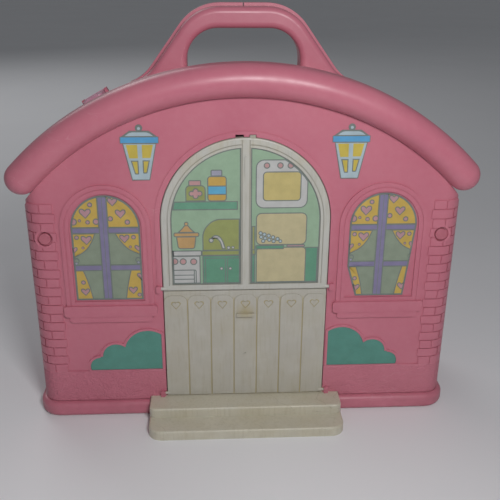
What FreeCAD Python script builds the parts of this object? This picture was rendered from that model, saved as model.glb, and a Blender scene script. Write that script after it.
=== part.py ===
import FreeCAD, Part
import math
import os

# Carry-along fold-open toy playhouse, standing shut.
# Frame: +X to the right of the facade, +Y to the rear, +Z up.
# Origin: on the ground, on the centre line, in the parting plane between the
# fixed front half and the two rear wings.  All sizes in millimetres.

# ---- shell ----
wall = 2.5                  # moulded wall thickness
half_width = 190.5          # plain side wall, from the centre line
front_depth = 60.0          # parting plane to the facade
wing_depth = 60.0           # parting plane to the rear wall
corner_r = 16.0             # upright corners of the shells
part_gap = 0.3              # front half to wings
wing_gap = 1.0              # left wing to right wing

# ---- roof ----
arc_z = 54.9                # height of the roof arc's centre
eave_r = 246.5              # top of the walls and underside of the roof
roof_r = 274.0              # outside of the roof
roof_over = -2.3            # centre of each rounded roof end, outside the side wall
crown_back = 10.0           # crown of the roof, behind the facade
roof_fall = 0.16            # fall of the roof behind its crown, per millimetre
wing_roof_round = 8.0       # rounded rear edge of the wing roofs

# ---- plinth ----
rim_top = 14.4
rim_proud = 5.5
rim_round = 4.5
plinth_top = 47.0
plinth_proud = 1.0
wing_rim_proud = 2.0

# ---- corner bricks ----
brick_pitch = 8.7
mortar = 0.9
brick_proud = 1.0
brick_long = 26.5           # reach across the facade, from the side wall
brick_short = 25.0          # reach of every other course
brick_ends = (14.5, 7.0)    # upright joint on the facade, from the side wall
brick_sides = (33.0, 23.0)  # upright joint on the side wall, from the facade
brick_back = -9.0           # where the courses stop on the side wall
brick_head = 2.0            # space left under the eave

# ---- handle ----
handle_top = 371.0
handle_flat = 20.0          # half of the flat top
handle_bend = 44.0          # radius of the outer shoulders
handle_lean = 53.7          # slope of the legs, degrees from level
handle_flare = 12.0
handle_step = 2.5           # front half stands this far inside the rear half
handle_thick = 14.0         # each half
handle_edge = 5.0
grip_half = 49.0            # finger gap
grip_top = 351.0
grip_r = 27.0

# ---- doorway ----
hatch_half = 74.0
hatch_base = 128.8
arch_spring = 194.5
fit_gap = 0.5               # round the hatch and the door
reveal_wall = 3.0
reveal_depth = 10.0
ledge_in = 3.0              # stop ledge behind the hatch and the door
ledge_back = 4.0            # behind the facade
ledge_thick = 3.0
border_wide = 4.5
border_proud = 1.2

# ---- hatch ----
panel_proud = 2.0           # hatch and door stand this far out of the facade
hatch_thick = 5.0
frame_band = 8.5
bottom_rail = 5.7
mullion = 8.0
pane_deep = 1.5
label_thick = 0.4
ridge_wide = 2.2
ridge_long = 17.0
ridge_down = 15.5           # from the crown of the hatch
ridge_proud = 1.2
nib_left = 3.2              # catch on the hatch's crown
nib_right = 8.0
nib_high = 1.8
slot_left = -9.0            # slot through the wall beside the catch
slot_right = -2.0
hatch_round = 1.6
bead_in = 5.5               # groove round the hatch frame, from its edge
bead_line = 0.9
bead_deep = 0.8
mullion_line = 2.8          # grooves each side of the mullion's middle
pivot_proud = 1.0           # pivot lines stand this far out of the facade
pivot_up = 2.2              # hatch pivot above its lower edge
stub_r = 1.6
stub_short = 1.0            # stub end inside the lug's outer face
stub_clear = 0.08

# ---- lower door ----
door_thick = 4.0
door_pivot_up = 2.6
planks = 7
plank_gap = 1.1
plank_down = 4.3            # plank tops below the door's upper edge
plank_round = 6.5
plank_proud = 0.8
heart = 4.6
heart_down = 9.5            # below the plank tops
heart_line = 0.9
heart_deep = 0.5
pull_half = 8.2
pull_down = 19.5            # below the plank tops
pull_high = 3.2
pull_proud = 3.0
pip_z = 63.0
pip_r = 1.3

# ---- hinge lugs beside the doorway ----
lug_out = 1.1               # lug from the edge of the doorway
lug_wide = 4.4
lug_high = 6.4
lug_proud = 4.0

# ---- door step ----
step_half = 90.0
riser = 9.2
upper_tread = 24.0
lower_tread = 22.0
step_corner = 12.0
step_edge = 1.8
step_wall = 2.4

# ---- windows ----
window_side = 3.6           # frame to the doorway border and to the corner bricks
window_low = 120.7
window_spring = 189.3
frame_wide = 7.7
frame_gap = 1.45            # label to the frame
frame_proud = 1.8
frame_groove = 1.0
sill_over = 2.7             # sill past the frame, each side
sill_low = 104.8
sill_high = 115.4
sill_proud = 3.4
apron_under = 1.7           # apron inside the frame, each side
apron_low = 98.8
apron_proud = 2.4
sill_round = 2.6
decal_thick = 0.5
worn_inner = (8.5, 29.0)    # right label: across and up at its inner foot
worn_outer = (7.0, 68.0)    # and at its outer foot

# ---- lantern and bush labels ----
lamp_x = 88.5
lamp_low = 232.0
bush_up = 1.0               # above the plinth
bush_out = 3.0              # from the edge of the doorway
bush_lobes = ((0.147, 19.0, 21.5), (0.494, 14.4, 12.5), (0.671, 3.5, 9.6))
bush_rim = 2.2
bush_rim_proud = 1.2

# ---- push buttons ----
button_in = 16.5            # from the side wall
button_z = 180.0
button_r = 5.2
button_proud = 1.3
button_travel = 3.0
land_r = 8.6
land_proud = 0.4
well_r = 6.7
well_deep = 2.0
guide_long = 8.0            # guide tube behind the facade
button_fit = 0.1
flange_r = 6.6
flange_thick = 1.6
flange_gap = 0.4
stem_r = 3.0
stem_fit = 0.1
stem_short = 0.2            # stem end to the parting plane when fully pressed
bridge_back = 24.0          # spring bridge behind the facade
bridge_thick = 2.0
bridge_reach = 11.0
clip_r = 5.0
clip_thick = 1.4
spring_r = 4.6
spring_wire = 0.5
spring_turns = 6

# ---- wing hinges ----
hinge_out = 4.0             # pin line outside the side wall
hinge_y = 1.5
knuckle_r = 3.0
knuckle_long = 14.0
knuckle_gap = 0.4
knuckle_levels = (34.0, 103.0, 172.0)
pin_r = 1.3
pin_fit = 0.05
pin_end = 2.0

# ---- roof latch ----
latch_angle = 29.4          # round the roof arc, left of the crest
latch_half = 10.0
latch_front = -9.0
latch_pivot_y = 10.0
latch_clear = 1.0
latch_thick = 3.0
latch_barrel = 2.3
latch_head = 2.6
latch_lug = 2.6
latch_side = 0.4
latch_pin_r = 1.2

# ---- screws ----
screw_r = 1.5
screw_head_r = 3.0
screw_head = 2.0
screw_long = 9.0
screw_boss = 4.0
screw_hole = 0.1
screw_seat = 0.05           # heads under the curved wall
roof_screw_angles = (-30.0, 0.0, 30.0)
wing_screw_angles = (-14.0, -32.0)
screw_y = 30.0
step_screw_x = 60.0

# ---- sizes that follow ----
V = FreeCAD.Vector
facade = -front_depth
crown_y = facade + crown_back
roll_r = (roof_r - eave_r) / 2
mid_r = (roof_r + eave_r) / 2
roof_angle = math.degrees(math.asin((half_width + roof_over) / mid_r))
side_eave = arc_z + math.sqrt(eave_r ** 2 - half_width ** 2)
brick_rows = int((side_eave - plinth_top) / brick_pitch) + 1
open_half = hatch_half + fit_gap
step_top = 2 * riser
door_low = step_top + fit_gap
door_top = hatch_base - fit_gap
door_half = hatch_half - fit_gap
door_pivot_z = door_low + door_pivot_up
hatch_pivot_z = hatch_base + pivot_up
hatch_top = arch_spring + hatch_half
panel_front = facade - panel_proud
hatch_back = panel_front + hatch_thick
door_back = panel_front + door_thick
pivot_y = facade - pivot_proud
ledge_y = facade + ledge_back
plank_top = door_top - plank_down
heart_z = plank_top - heart_down
pull_z = plank_top - pull_down
lug_near = open_half + lug_out
lug_front = facade - lug_proud
bush_base = plinth_top + bush_up
bush_edge = open_half + bush_out
bay_low = open_half + border_wide
bay_high = half_width - brick_long
bay = bay_high - bay_low
window_x = (bay_low + bay_high) / 2
frame_out = bay / 2 - window_side
frame_in = frame_out - frame_wide
window_half = frame_in - frame_gap
sill_half = frame_out + sill_over
apron_half = frame_out - apron_under
button_x = half_width - button_in
guide_end = facade + guide_long
bridge_y = facade + bridge_back
hinge_x = half_width + hinge_out
screw_inset = eave_r - wall
decal = facade - decal_thick

os.makedirs("parts", exist_ok=True)


def box(x0, x1, y0, y1, z0, z1):
    return Part.makeBox(x1 - x0, y1 - y0, z1 - z0, V(x0, y0, z0))


def rod_x(r, x0, x1, y, z):
    return Part.makeCylinder(r, x1 - x0, V(x0, y, z), V(1, 0, 0))


def rod_y(r, y0, y1, x, z):
    return Part.makeCylinder(r, y1 - y0, V(x, y0, z), V(0, 1, 0))


def rod_z(r, z0, z1, x, y):
    return Part.makeCylinder(r, z1 - z0, V(x, y, z0), V(0, 0, 1))


def join(first, *rest):
    """One clean solid from overlapping ones."""
    return first.multiFuse(list(rest)).removeSplitter()


def mirrored(shape):
    return shape.mirror(V(0, 0, 0), V(1, 0, 0))


def both(shape):
    return [shape, mirrored(shape)]


def slab(start, steps, y0, y1):
    """Outline in X and Z, extruded from y0 to y1.

    A step is a point for a straight run, or two points (on the way, at the end) for an arc.
    """
    edges = []
    here = V(start[0], y0, start[1])
    for step in list(steps) + [start]:
        if isinstance(step[0], tuple):
            mid = V(step[0][0], y0, step[0][1])
            there = V(step[1][0], y0, step[1][1])
            edges.append(Part.Arc(here, mid, there).toShape())
        else:
            there = V(step[0], y0, step[1])
            if here.distanceToPoint(there) < 1e-6:
                continue
            edges.append(Part.LineSegment(here, there).toShape())
        here = there
    return Part.Face(Part.Wire(edges)).extrude(V(0, y1 - y0, 0))


def arch(x, half, z_low, z_spring, y0, y1):
    """Upright panel with a half-round top."""
    top = ((x, z_spring + half), (x + half, z_spring))
    return slab((x - half, z_low), [(x - half, z_spring), top, (x + half, z_low)], y0, y1)


def round_bar(x0, x1, z0, z1, r, y0, y1):
    """Rectangle with rounded corners, extruded along Y."""
    k = r * (1 - math.sqrt(0.5))
    steps = [
        (x0, z1 - r), ((x0 + k, z1 - k), (x0 + r, z1)),
        (x1 - r, z1), ((x1 - k, z1 - k), (x1, z1 - r)),
        (x1, z0 + r), ((x1 - k, z0 + k), (x1 - r, z0)),
        (x0 + r, z0), ((x0 + k, z0 + k), (x0, z0 + r)),
    ]
    return slab((x0, z0 + r), steps, y0, y1)


def plan(half, y_open, y_round, r, z0, z1):
    """Prism with its two far corners rounded in plan and its open side square."""
    s = 1 if y_round > y_open else -1
    k = r * (1 - math.sqrt(0.5))
    p = [V(-half, y_open, z0), V(-half, y_round - s * r, z0), V(-half + r, y_round, z0),
         V(half - r, y_round, z0), V(half, y_round - s * r, z0), V(half, y_open, z0)]
    left = V(-half + k, y_round - s * k, z0)
    right = V(half - k, y_round - s * k, z0)
    edges = [
        Part.LineSegment(p[0], p[1]).toShape(),
        Part.Arc(p[1], left, p[2]).toShape(),
        Part.LineSegment(p[2], p[3]).toShape(),
        Part.Arc(p[3], right, p[4]).toShape(),
        Part.LineSegment(p[4], p[5]).toShape(),
        Part.LineSegment(p[5], p[0]).toShape(),
    ]
    return Part.Face(Part.Wire(edges)).extrude(V(0, 0, z1 - z0))


def roof_top(y):
    """Outside radius of the roof at y."""
    return roof_r - roof_fall * max(0.0, y - crown_y)


def drum(r, y0, y1):
    """Cylinder on the roof arc's axis."""
    return rod_y(r, y0, y1, 0, arc_z)


def round_the_arc(shape, angle):
    """Carry a shape from the crest round the roof arc; positive goes right."""
    moved = shape.copy()
    moved.rotate(V(0, 0, arc_z), V(0, 1, 0), angle)
    return moved


def screw(start, direction, length):
    """Pan-head screw: start is under the head, direction points along the shank."""
    shank = Part.makeCylinder(screw_r, length, start, direction)
    head = Part.makeCylinder(screw_head_r, screw_head, start - direction * screw_head, direction)
    solid = join(head, shank)
    slots = []
    for turn in (0, 90):
        slot = Part.makeBox(2 * screw_r, 0.7, 1.2)
        slot.translate(V(-screw_r, -0.35, -0.2))
        slot.rotate(V(0, 0, 0), V(0, 0, 1), turn)
        slots.append(slot)
    cross = join(*slots)
    cross.Placement = FreeCAD.Placement(
        start - direction * screw_head, FreeCAD.Rotation(V(0, 0, 1), direction)
    ).multiply(cross.Placement)
    return solid.cut(cross)


# ------------------------------------------------------------------ front shell

def opening(grow, y0, y1):
    """Doorway shape: the door below, the half-round hatch above."""
    return arch(0, open_half + grow, step_top, arch_spring, y0, y1)


def brick_courses():
    band = plan(half_width + brick_proud, brick_back, facade - brick_proud,
                corner_r + brick_proud, plinth_top, plinth_top + brick_rows * brick_pitch)
    band = band.cut(plan(half_width - 1, 1, facade + 1, corner_r - 1, 0, 400))
    band = band.common(drum(eave_r - brick_head, facade - 5, 0))
    courses = []
    for row in range(brick_rows):
        z0 = plinth_top + row * brick_pitch
        z1 = z0 + brick_pitch - mortar
        inner = half_width - (brick_long if row % 2 else brick_short)
        turn = half_width - brick_ends[row % 2]
        back = facade + brick_sides[row % 2]
        outer = half_width + 5
        courses.append(box(inner, turn, facade - 5, facade + corner_r, z0, z1))
        courses.append(box(turn + mortar, outer, facade - 5, back, z0, z1))
        courses.append(box(turn + mortar, outer, back + mortar, brick_back, z0, z1))
    right = band.common(Part.makeCompound(courses))
    return right.Solids + mirrored(right).Solids


def window_surround():
    y0 = facade - frame_proud
    base = sill_high - 1
    ring = arch(window_x, frame_out, base, window_spring, y0, facade + 1)
    ring = ring.cut(arch(window_x, frame_in, window_low - 1.4, window_spring, y0 - 1, facade))
    mid = (frame_in + frame_out) / 2
    groove = arch(window_x, mid + frame_groove / 2, base - 5, window_spring, y0 - 1, y0 + 0.7)
    groove = groove.cut(arch(window_x, mid - frame_groove / 2, base - 9, window_spring,
                             y0 - 2, y0 + 2))
    ring = ring.cut(groove)
    sill = round_bar(window_x - sill_half, window_x + sill_half, sill_low, sill_high,
                     sill_round, facade - sill_proud, facade + 1)
    apron = round_bar(window_x - apron_half, window_x + apron_half, apron_low,
                      sill_low + sill_round, sill_round, facade - apron_proud, facade + 1)
    return both(ring) + both(sill) + both(apron)


def bush_form(grow, y0, y1):
    """Three-lobed bush on the plinth, right-hand side.

    A lobe is its place as a share of the bay, its height and its radius.
    """
    edge = bush_edge - grow
    base = bush_base - grow
    lobes = [rod_y(r + grow, y0, y1, bush_edge + share * bay, bush_base + z)
             for share, z, r in bush_lobes]
    last = bush_edge + bush_lobes[-1][0] * bay
    fill = box(edge, last, y0, y1, base, bush_base + bush_lobes[1][1])
    area = box(edge, edge + 200, y0 - 1, y1 + 1, base, base + 200)
    return join(fill, *lobes).common(area)


def bush_outline():
    ring = bush_form(bush_rim, facade - bush_rim_proud, facade + 1)
    return both(ring.cut(bush_form(0.2, facade - 5, facade)))


def hinge_lugs(pivot_z):
    lug = round_bar(lug_near, lug_near + lug_wide, pivot_z - lug_high / 2,
                    pivot_z + lug_high / 2, 1.2, lug_front, facade + 1)
    return both(lug)


def button_land():
    return both(rod_y(land_r, facade - land_proud, guide_end, button_x, button_z))


def button_bridge():
    inner = button_x - bridge_reach
    plate = box(inner, half_width - wall / 2, bridge_y, bridge_y + bridge_thick,
                button_z - bridge_reach, button_z + bridge_reach)
    return both(plate)


def knuckle(z):
    return rod_z(knuckle_r, z, z + knuckle_long, -hinge_x, hinge_y)


def front_knuckles():
    solids = []
    for level in knuckle_levels:
        for z in (level, level + 2 * knuckle_long):
            web = box(-hinge_x - 2, -half_width + 1, hinge_y - 7.5, -part_gap, z,
                      z + knuckle_long)
            solids.append(join(knuckle(z), web))
    return solids


def wing_knuckles():
    solids = []
    for level in knuckle_levels:
        z0 = level + knuckle_long + knuckle_gap
        z1 = level + 2 * knuckle_long - knuckle_gap
        barrel = rod_z(knuckle_r, z0, z1, -hinge_x, hinge_y)
        web = box(-hinge_x - 1, -half_width + 1, hinge_y + 0.5, hinge_y + 6, z0, z1)
        solids.append(join(barrel, web))
    return solids


def arc_screws(angles, y, grow, start, length):
    holes = []
    for angle in angles:
        hole = rod_z(screw_r + grow, arc_z + start, arc_z + start + length, 0, y)
        holes.append(round_the_arc(hole, angle))
    return holes


def make_front_wall():
    body = plan(half_width, 0, facade, corner_r, 0, arc_z + eave_r)
    body = body.common(drum(eave_r, facade - 1, 1))
    rim = plan(half_width + rim_proud, 0, facade - rim_proud, corner_r + rim_proud, 0, rim_top)
    edges = [e for e in rim.Edges if abs(e.BoundBox.ZLength) < 1e-6 and e.BoundBox.YMin < -1]
    rim = rim.makeFillet(rim_round, edges)
    rim = rim.cut(box(-step_half - fit_gap, step_half + fit_gap, facade - 20, facade, -1, 99))
    band = plan(half_width + plinth_proud, 0, facade - plinth_proud,
                corner_r + plinth_proud, rim_top - 1, plinth_top)
    border = arch(0, open_half + border_wide, hatch_pivot_z, arch_spring,
                  facade - border_proud, facade + 1)
    added = [rim, band, border] + brick_courses() + window_surround() + bush_outline()
    body = body.multiFuse(added)
    room = plan(half_width - wall, 1, facade + wall, corner_r - wall, wall, arc_z + eave_r)
    body = body.cut(room.common(drum(eave_r - wall, facade - 1, 2)))
    body = body.cut(opening(0, facade - 9, facade + 9))

    reveal = opening(reveal_wall, facade, facade + reveal_depth)
    reveal = reveal.cut(opening(0, facade - 1, ledge_y))
    reveal = reveal.cut(arch(0, open_half - ledge_in, step_top + ledge_in, arch_spring,
                             ledge_y - 1, facade + reveal_depth + 1))
    tail = arch(0, open_half, 0, arch_spring, ledge_y + ledge_thick, facade + reveal_depth + 1)
    reveal = reveal.cut(tail)
    added = [reveal] + hinge_lugs(hatch_pivot_z) + hinge_lugs(door_pivot_z)
    added += button_land() + button_bridge()
    for solid in front_knuckles():
        added += both(solid)
    body = body.multiFuse(added)

    cuts = [box(-step_half - fit_gap, step_half + fit_gap, facade - 20, facade, -1, step_top)]
    reach = lug_near + lug_wide
    for z in (hatch_pivot_z, door_pivot_z):
        cuts += both(rod_x(stub_r + stub_clear, open_half - 2, reach - 0.6, pivot_y, z))
    slot_top = hatch_top + nib_high + fit_gap
    cuts.append(box(nib_left - fit_gap, nib_right + fit_gap, facade - 9, ledge_y,
                    hatch_top - 3, slot_top))
    cuts.append(box(slot_left, slot_right, facade - 9, facade + reveal_depth + 1,
                    hatch_top - 1, slot_top))
    cuts += both(rod_y(button_r + button_fit, facade - 9, guide_end + 1, button_x, button_z))
    cuts += both(rod_y(well_r, facade - 9, facade - land_proud + well_deep, button_x, button_z))
    cuts += both(rod_y(stem_r + stem_fit, bridge_y - 1, bridge_y + 9, button_x, button_z))
    cuts += both(rod_z(pin_r + 0.02, 0, 260, -hinge_x, hinge_y))
    cuts += arc_screws(roof_screw_angles, -screw_y, screw_hole, screw_inset - 2, wall + 4)
    cuts += both(rod_y(screw_r + screw_hole, facade - 1, facade + wall + 1,
                       step_screw_x, riser))
    return body.cut(cuts).removeSplitter()


def over_the_fall(inset, y_end):
    """Everything above the falling part of the roof."""
    top = arc_z + roof_r - inset
    end = arc_z + roof_top(y_end) - inset
    pts = [V(0, crown_y, top), V(0, crown_y, top + 40), V(0, y_end, top + 40), V(0, y_end, end)]
    face = Part.Face(Part.makePolygon(pts + pts[:1]))
    return face.revolve(V(0, 0, arc_z), V(0, 1, 0), 360)


def roof_form(inset, y_open):
    """Front roof: a falling band with a rolled front edge and rounded ends."""
    low = arc_z + eave_r + inset
    mid = arc_z + mid_r
    top = arc_z + roof_r - inset
    nose = facade - roll_r + inset

    def face(points, arc):
        edges = [Part.Arc(*[V(0, y, z) for y, z in arc]).toShape()]
        run = [arc[-1]] + points + [arc[0]]
        for a, b in zip(run, run[1:]):
            edges.append(Part.LineSegment(V(0, a[0], a[1]), V(0, b[0], b[1])).toShape())
        return Part.Face(Part.Wire(edges))

    whole = face([(y_open, top), (y_open, low)], [(facade, low), (nose, mid), (facade, top)])
    whole.rotate(V(0, 0, arc_z), V(0, 1, 0), -roof_angle)
    sweep = whole.revolve(V(0, 0, arc_z), V(0, 1, 0), 2 * roof_angle)
    k = (roll_r - inset) * math.sqrt(0.5)
    half = face([(y_open, top), (y_open, mid)],
                [(nose, mid), (facade - k, mid + k), (facade, top)])
    cap = half.revolve(V(0, 0, mid), V(0, 1, 0), 180)
    right = round_the_arc(cap, roof_angle)
    return join(sweep, right, mirrored(right)).cut(over_the_fall(inset, y_open + 1))


def handle_form(inset, y0, y1, rounded):
    """Carrying bow; rounded is the Y of its outer face, whose edges are softened."""
    a = math.radians(handle_lean)
    bend = handle_bend - inset
    centre = (handle_flat, handle_top - handle_bend)
    top = centre[1] + bend
    knee = (centre[0] + bend * math.sin(a), centre[1] + bend * math.cos(a))
    mid = (centre[0] + bend * math.sin(a / 2), centre[1] + bend * math.cos(a / 2))
    foot_r = roof_top(-handle_thick)
    px, pz = knee[0], knee[1] - arc_z
    dot = px * math.cos(a) - pz * math.sin(a)
    run = -dot - math.sqrt(dot * dot - (px * px + pz * pz - foot_r * foot_r))
    hit = (knee[0] + run * math.cos(a), knee[1] - run * math.sin(a))
    up = (hit[0] - handle_flare * math.cos(a), hit[1] + handle_flare * math.sin(a))
    foot_angle = math.asin(hit[0] / foot_r) + handle_flare / foot_r
    foot = (foot_r * math.sin(foot_angle), arc_z + foot_r * math.cos(foot_angle))
    soft = ((up[0] + 2 * hit[0] + foot[0]) / 4, (up[1] + 2 * hit[1] + foot[1]) / 4)
    base = arc_z + roof_r - 40
    gx = grip_half - grip_r
    gz = grip_top - grip_r
    gk = grip_r * math.sqrt(0.5)
    steps = [
        (-foot[0], foot[1]), ((-soft[0], soft[1]), (-up[0], up[1])),
        (-knee[0], knee[1]), ((-mid[0], mid[1]), (-handle_flat, top)),
        (handle_flat, top), ((mid[0], mid[1]), knee),
        up, (soft, foot), (foot[0], base),
        (grip_half, base), (grip_half, gz), ((gx + gk, gz + gk), (gx, grip_top)),
        (-gx, grip_top), ((-gx - gk, gz + gk), (-grip_half, gz)), (-grip_half, base),
    ]
    bow = slab((-foot[0], base), steps, y0, y1)
    edges = []
    for edge in bow.Edges:
        b = edge.BoundBox
        if b.YLength < 1e-6 and abs(b.YMin - rounded) < 1e-6 and b.ZMax > base + 1:
            edges.append(edge)
    bow = bow.makeFillet(handle_edge, edges)
    return bow.cut(drum(roof_top(handle_thick) - 1, y0 - 1, y1 + 1))


def arc_bosses(angles, y):
    bosses = []
    for angle in angles:
        boss = rod_z(screw_boss, arc_z + eave_r + 1, arc_z + eave_r + screw_long, 0, y)
        bosses.append(round_the_arc(boss, angle))
    return bosses


def make_front_roof():
    roof = roof_form(0, 0).cut(roof_form(wall, 1))
    bow = handle_form(handle_step, -handle_thick, 0, -handle_thick)
    roof = join(roof, bow, *arc_bosses(roof_screw_angles, -screw_y))
    return roof.cut(arc_screws(roof_screw_angles, -screw_y, 0, screw_inset, screw_long - 1))


def arc_screw_set(angles, y):
    solids = []
    for angle in angles:
        solid = screw(V(0, y, arc_z + screw_inset - screw_seat), V(0, 0, 1), screw_long - 1)
        solids.append(round_the_arc(solid, angle))
    return solids


def make_step():
    back = facade
    nose = facade - upper_tread
    tip = nose - lower_tread
    low = plan(step_half, back, tip, step_corner, 0, riser)
    high = plan(step_half, back, nose, step_corner / 2, 0, step_top)
    blocks = []
    for block, top in ((low, riser), (high, step_top)):
        edges = [e for e in block.Edges if e.BoundBox.ZMin > top - 1e-6 and
                 e.BoundBox.YMin < back - 0.1]
        blocks.append(block.makeFillet(step_edge, edges))
    block = join(*blocks)
    low = plan(step_half - step_wall, back - step_wall, tip + step_wall,
               step_corner - step_wall, -1, riser - step_wall)
    high = plan(step_half - step_wall, back - step_wall, nose + step_wall,
                step_corner / 2 - step_wall, -1, step_top - step_wall)
    block = block.cut([low, high])
    bosses = both(rod_y(screw_boss, back - screw_long, back, step_screw_x, riser))
    block = join(block, *bosses)
    return block.cut(both(rod_y(screw_r, back - screw_long + 1, back, step_screw_x, riser)))


# ------------------------------------------------------------------ labels

def window_form(y0, y1):
    return arch(window_x, window_half, window_low, window_spring, y0, y1)


def worn_foot(x, across, up):
    """Wedge missing from the foot of a window label, from its edge at x."""
    start = (x - 0.2 * across, window_low + 1.2 * up)
    end = (x + 1.2 * across, window_low - 0.2 * up)
    return slab(start, [end, (start[0], end[1])], decal - 1, facade + 1)


def lamp_form(y0, y1):
    """Wall lantern: tapered glass, band, low dome and knob."""
    x = lamp_x
    z = lamp_low
    steps = [
        (x - 14, z + 31.7), (x - 16, z + 31.7), (x - 16, z + 37.3), (x - 15, z + 37.3),
        (x - 8, z + 42.3), (x - 1.93, z + 42.3), ((x, z + 47.6), (x + 1.93, z + 42.3)),
        (x + 8, z + 42.3), (x + 15, z + 37.3), (x + 16, z + 37.3), (x + 16, z + 31.7),
        (x + 14, z + 31.7), (x + 7.6, z),
    ]
    return slab((x - 7.6, z), steps, y0, y1)


def pane(side, inset, y0, y1):
    """One light of the hatch."""
    form = arch(0, hatch_half - frame_band - inset, hatch_base + bottom_rail + inset,
                arch_spring, y0, y1)
    form = form.common(box(mullion / 2 + inset, hatch_half, y0 - 1, y1 + 1, 0, 400))
    return form if side > 0 else mirrored(form)


# ------------------------------------------------------------------ hatch and door

def stubs(half, z):
    return both(rod_x(stub_r, half - 3, lug_near + lug_wide - stub_short, pivot_y, z))


def frame_lines():
    """Shallow grooves round the hatch's frame and down its mullion."""
    y0 = panel_front - 1
    y1 = panel_front + bead_deep
    low = hatch_base + bottom_rail
    edge = hatch_half - bead_in
    ring = arch(0, edge, low, arch_spring, y0, y1)
    ring = ring.cut(arch(0, edge - bead_line, low - 9, arch_spring, y0 - 1, y1 + 1))
    ring = ring.cut(box(-mullion / 2, mullion / 2, y0 - 1, y1 + 1, low - 1, hatch_top + 1))
    line = box(mullion_line, mullion_line + bead_line, y0, y1, low, hatch_top - 2)
    return ring.Solids + both(line)


def make_hatch():
    panel = arch(0, hatch_half, hatch_base, arch_spring, panel_front, hatch_back)
    edges = [e for e in panel.Edges if e.BoundBox.YMax < panel_front + 0.01]
    panel = panel.makeFillet(hatch_round, edges)
    nib = box(nib_left, nib_right, panel_front + 1, hatch_back, hatch_top - 2, hatch_top + nib_high)
    high = hatch_top - ridge_down
    ridge = round_bar(-ridge_wide / 2, ridge_wide / 2, high - ridge_long, high, 1.0,
                      panel_front - ridge_proud, panel_front + 1)
    panes = [pane(side, 0, panel_front - 1, panel_front + pane_deep) for side in (-1, 1)]
    panel = panel.cut(panes + frame_lines())
    return join(panel, nib, ridge, *stubs(hatch_half, hatch_pivot_z))


def heart_form(x, z, s, y0, y1):
    steps = [
        (x - 0.95 * s, z + 0.25 * s), ((x - 0.5 * s, z + 0.85 * s), (x, z + 0.45 * s)),
        ((x + 0.5 * s, z + 0.85 * s), (x + 0.95 * s, z + 0.25 * s)),
    ]
    return slab((x, z - 0.9 * s), steps, y0, y1)


def plank_form(x0, x1, y0, y1):
    r = plank_round
    k = r * (1 - math.sqrt(0.5))
    steps = [
        (x0, plank_top - r), ((x0 + k, plank_top - k), (x0 + r, plank_top)),
        (x1 - r, plank_top), ((x1 - k, plank_top - k), (x1, plank_top - r)),
        (x1, door_low + 0.8),
    ]
    return slab((x0, door_low + 0.8), steps, y0, y1)


def make_door():
    face = panel_front + plank_proud
    body = box(-door_half, door_half, face, door_back, door_low, door_top)
    pitch = 2 * door_half / planks
    added = []
    grooves = []
    for i in range(planks):
        x0 = -door_half + i * pitch
        left = x0 + (0 if i == 0 else plank_gap / 2)
        right = x0 + pitch - (0 if i == planks - 1 else plank_gap / 2)
        added.append(plank_form(left, right, panel_front, face + 1))
        x = x0 + pitch / 2
        ring = heart_form(x, heart_z, heart, panel_front - 1, panel_front + heart_deep)
        ring = ring.cut(heart_form(x, heart_z, heart - 1.3 * heart_line,
                                   panel_front - 2, panel_front + 2))
        grooves.append(ring)
    added.append(round_bar(-pull_half, pull_half, pull_z - pull_high / 2, pull_z + pull_high / 2,
                           1.0, panel_front - pull_proud, panel_front + 1))
    added.append(rod_y(pip_r, panel_front - 1, panel_front + 1, 0, pip_z))
    body = body.multiFuse(added + stubs(door_half, door_pivot_z))
    return body.cut(grooves).removeSplitter()


# ------------------------------------------------------------------ buttons

def make_button():
    face = facade - button_proud
    flange = guide_end + flange_gap
    stem_end = -button_travel - stem_short
    cap = rod_y(button_r, face, flange + 1, button_x, button_z)
    edge = [e for e in cap.Edges if e.BoundBox.YMax < face + 0.01]
    cap = cap.makeFillet(0.8, edge)
    disc = rod_y(flange_r, flange, flange + flange_thick, button_x, button_z)
    stem = rod_y(stem_r, flange, stem_end, button_x, button_z)
    return join(cap, disc, stem)


def make_clip():
    y = bridge_y + bridge_thick + flange_gap
    ring = rod_y(clip_r, y, y + clip_thick, button_x, button_z)
    return ring.cut(rod_y(stem_r, y - 1, y + 5, button_x, button_z))


def make_spring():
    """Compression spring drawn as linked rings between the flange and the bridge."""
    start = guide_end + flange_gap + flange_thick
    length = bridge_y - start
    pitch = (length - 2 * spring_wire) / (spring_turns - 1)
    pieces = []
    for turn in range(spring_turns):
        y = start + spring_wire + turn * pitch
        pieces.append(Part.makeTorus(spring_r, spring_wire, V(button_x, y, button_z), V(0, 1, 0)))
        if turn < spring_turns - 1:
            side = spring_r if turn % 2 else -spring_r
            pieces.append(rod_y(spring_wire * 0.8, y, y + pitch, button_x + side, button_z))
    return join(*pieces)


# ------------------------------------------------------------------ wings

def left_half(x_in):
    return box(-400, -wing_gap / 2 - x_in, -50, 200, -10, 500)


def make_wing_wall():
    rear = wing_depth
    body = plan(half_width, part_gap, rear, corner_r, 0, arc_z + eave_r)
    body = body.common(drum(eave_r, -1, rear + 1))
    rim = plan(half_width + wing_rim_proud, part_gap, rear + wing_rim_proud,
               corner_r + wing_rim_proud, 0, rim_top)
    body = body.fuse(rim).common(left_half(0))
    room = plan(half_width - wall, -1, rear - wall, corner_r - wall, wall, arc_z + eave_r)
    room = room.common(drum(eave_r - wall, -2, rear + 1)).common(left_half(wall))
    body = body.cut(room)
    body = body.multiFuse(wing_knuckles())
    cuts = [rod_z(pin_r + pin_fit, 0, 260, -hinge_x, hinge_y)]
    cuts += arc_screws(wing_screw_angles, screw_y, screw_hole, screw_inset - 2, wall + 4)
    return body.cut(cuts).removeSplitter()


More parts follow.
